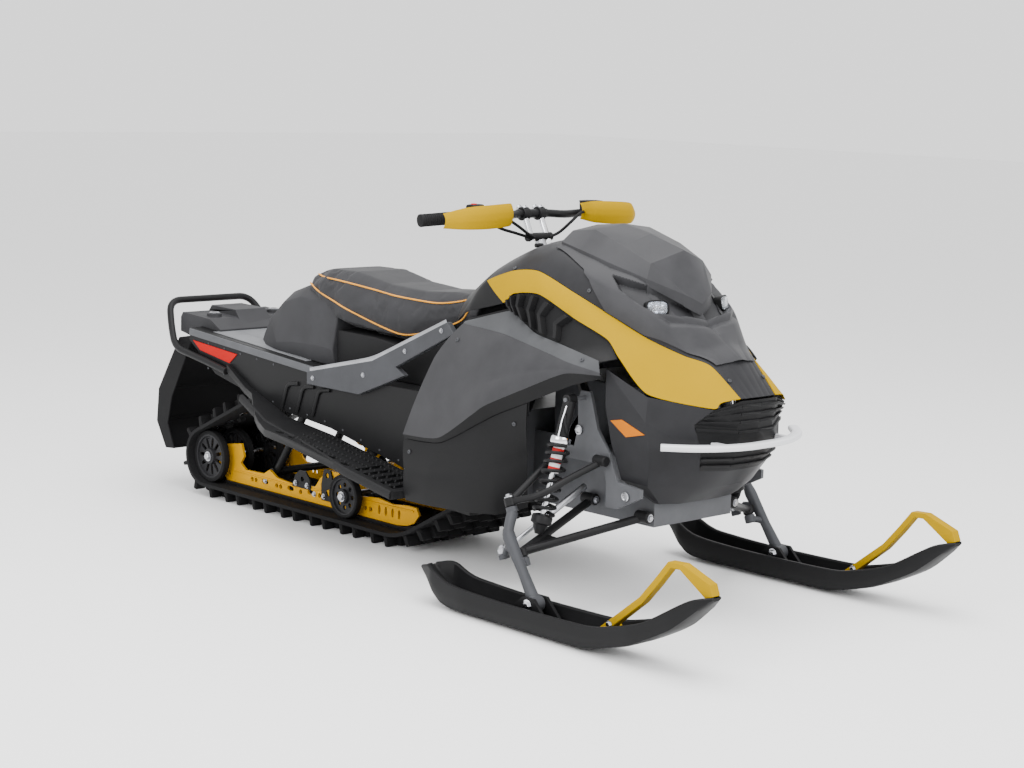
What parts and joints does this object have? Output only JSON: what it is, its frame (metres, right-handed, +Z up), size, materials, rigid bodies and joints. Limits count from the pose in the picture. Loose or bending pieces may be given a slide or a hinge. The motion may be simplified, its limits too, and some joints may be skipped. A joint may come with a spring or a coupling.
{
  "type": "snowmobile",
  "caption": "Trail snowmobile with steered skis on double A-arms, a faceted hood and visor, a narrow seat and a rubber track on slide rails under a sheet tunnel.",
  "frame": {"origin": "on the ground in the plane of symmetry, midway between the ski tips and the snow flap", "axes": "+Z up, the vehicle faces -Y and its left side is +X"},
  "size_m": [1.076, 2.645, 1.0227],
  "materials": {
    "black_paint": "satin",
    "grey_paint": "satin",
    "forged": "satin",
    "black_plastic": "matte",
    "grey_plastic": "satin",
    "yellow_plastic": "gloss",
    "yellow_metal": "satin",
    "rubber": "matte",
    "steel": "satin",
    "alloy": "matte",
    "vinyl": "matte",
    "red_lens": "gloss",
    "amber_lens": "gloss",
    "clear_lens": "gloss"
  },
  "bodies": {
    "chassis": {"amber_markers": "amber_lens", "bulkhead": "black_paint", "console": "grey_plastic", "drive_axle": "black_plastic", "engine": "alloy", "frame_braces": "forged", "front_bumper": "forged", "fuel_tank": "grey_plastic", "grilles": "black_plastic", "headlamps": "clear_lens", "hood": "grey_plastic", "hood_sides": "yellow_plastic", "idler_axles": "steel", "idler_wheels": "black_plastic", "lower_arms": "black_paint", "lower_panels": "black_plastic", "nose_pan": "grey_plastic", "rails": "yellow_metal", "rear_bumper": "black_paint", "rear_shocks": "black_paint", "red_markers": "red_lens", "running_boards": "black_paint", "seat": "vinyl", "seat_base": "black_plastic", "shocks": "steel", "side_panels": "grey_plastic", "slide_shoes": "black_plastic", "snow_flap": "rubber", "springs": "black_paint", "suspension_arms": "black_paint", "tail_cover": "grey_plastic", "tail_lamps": "red_lens", "track": "rubber", "tunnel": "black_paint", "upper_arms": "black_paint", "upper_frame": "black_paint", "vent_panels": "black_plastic", "visor": "black_plastic"},
    "steering": {"steering_post": "steel", "riser": "forged", "handlebar": "black_paint", "grips": "rubber", "hand_guards": "yellow_plastic"},
    "spindle_right": {"spindle_right": "forged"},
    "spindle_left": {"spindle_left": "forged"},
    "ski_right": {"ski_right": "black_plastic", "ski_loop_right": "yellow_metal", "ski_runner_right": "steel"},
    "ski_left": {"ski_left": "black_plastic", "ski_loop_left": "yellow_metal", "ski_runner_left": "steel"},
    "tie_rod_right": {"tie_rod_right": "steel"},
    "tie_rod_left": {"tie_rod_left": "steel"}
  },
  "joints": [
    {"name": "steering", "type": "hinge", "parent": "chassis", "child": "steering", "pos_m": [0, -0.24, 0.896], "axis": [0, 0.454, 0.891], "range_deg": [-35, 35]},
    {"name": "spindle_right", "type": "hinge", "parent": "chassis", "child": "spindle_right", "pos_m": [-0.44, -0.65244, 0.165], "axis": [0, 0.3714, 0.9285], "range_deg": [-30, 30]},
    {"name": "ski_pivot_right", "type": "hinge", "parent": "spindle_right", "child": "ski_right", "pos_m": [-0.476, -0.73744, 0.068], "axis": [1, 0, 0], "range_deg": [-12, 12], "stiffness_Nm_per_rad": 120},
    {"name": "tie_rod_right", "type": "slide", "parent": "chassis", "child": "tie_rod_right", "axis": [1, 0, 0], "range_m": [-0.03, 0.03]},
    {"name": "spindle_left", "type": "hinge", "parent": "chassis", "child": "spindle_left", "pos_m": [0.44, -0.65244, 0.165], "axis": [0, 0.3714, 0.9285], "range_deg": [-30, 30]},
    {"name": "ski_pivot_left", "type": "hinge", "parent": "spindle_left", "child": "ski_left", "pos_m": [0.476, -0.73744, 0.068], "axis": [1, 0, 0], "range_deg": [-12, 12], "stiffness_Nm_per_rad": 120},
    {"name": "tie_rod_left", "type": "slide", "parent": "chassis", "child": "tie_rod_left", "axis": [1, 0, 0], "range_m": [-0.03, 0.03]}
  ],
  "couplings": [
    {"joint": "spindle_right", "follows": "steering", "ratio": 0.85},
    {"joint": "tie_rod_right", "follows": "steering", "m_per_rad": -0.04675},
    {"joint": "spindle_left", "follows": "steering", "ratio": 0.85},
    {"joint": "tie_rod_left", "follows": "steering", "m_per_rad": -0.04675}
  ]
}
